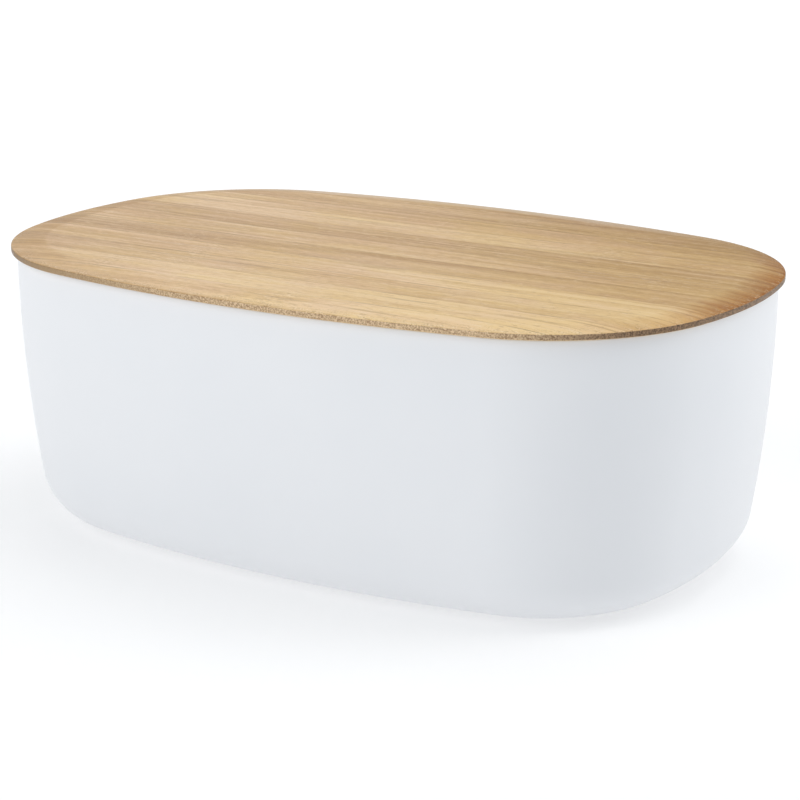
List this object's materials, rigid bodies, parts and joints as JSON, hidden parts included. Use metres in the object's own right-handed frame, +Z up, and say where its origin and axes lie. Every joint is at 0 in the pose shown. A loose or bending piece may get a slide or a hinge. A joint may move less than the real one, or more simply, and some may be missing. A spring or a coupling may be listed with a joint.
{
  "type": "bread bin",
  "caption": "Rounded white tub whose wall curves in to the base, closed by a lift-off board of laminated bamboo with a thin overhanging edge.",
  "frame": {"origin": "middle of the footprint, on the surface the bin stands on", "axes": "+X along the bin's length, +Y across it with the front at -Y, +Z up"},
  "size_m": [0.345, 0.223, 0.1292],
  "materials": {
    "melamine": "satin",
    "bamboo_light": "satin",
    "bamboo_mid": "satin",
    "bamboo_dark": "satin",
    "silicone_seal": "matte",
    "silicone_foot": "matte"
  },
  "bodies": {
    "tub": {"tub": "melamine", "foot_front_left": "silicone_foot", "foot_front_right": "silicone_foot", "foot_back_left": "silicone_foot", "foot_back_right": "silicone_foot"},
    "lid": {"lid_top_strip_01": "bamboo_light", "lid_top_strip_02": "bamboo_light", "lid_top_strip_03": "bamboo_mid", "lid_top_strip_04": "bamboo_light", "lid_top_strip_05": "bamboo_dark", "lid_top_strip_06": "bamboo_mid", "lid_top_strip_07": "bamboo_dark", "lid_top_strip_08": "bamboo_light", "lid_top_strip_09": "bamboo_mid", "lid_top_strip_10": "bamboo_dark", "lid_top_strip_11": "bamboo_mid", "lid_base_strip_01": "bamboo_mid", "lid_base_strip_02": "bamboo_light", "lid_base_strip_03": "bamboo_dark", "lid_base_strip_04": "bamboo_mid", "lid_base_strip_05": "bamboo_light", "lid_base_strip_06": "bamboo_mid", "lid_base_strip_07": "bamboo_light", "lid_base_strip_08": "bamboo_dark", "lid_base_strip_09": "bamboo_mid", "lid_base_strip_10": "bamboo_light", "lid_seal": "silicone_seal"}
  },
  "joints": [
    {"name": "lid_lift", "type": "slide", "parent": "tub", "child": "lid", "axis": [0, 0, 1], "range_m": [0, 0.15]}
  ]
}
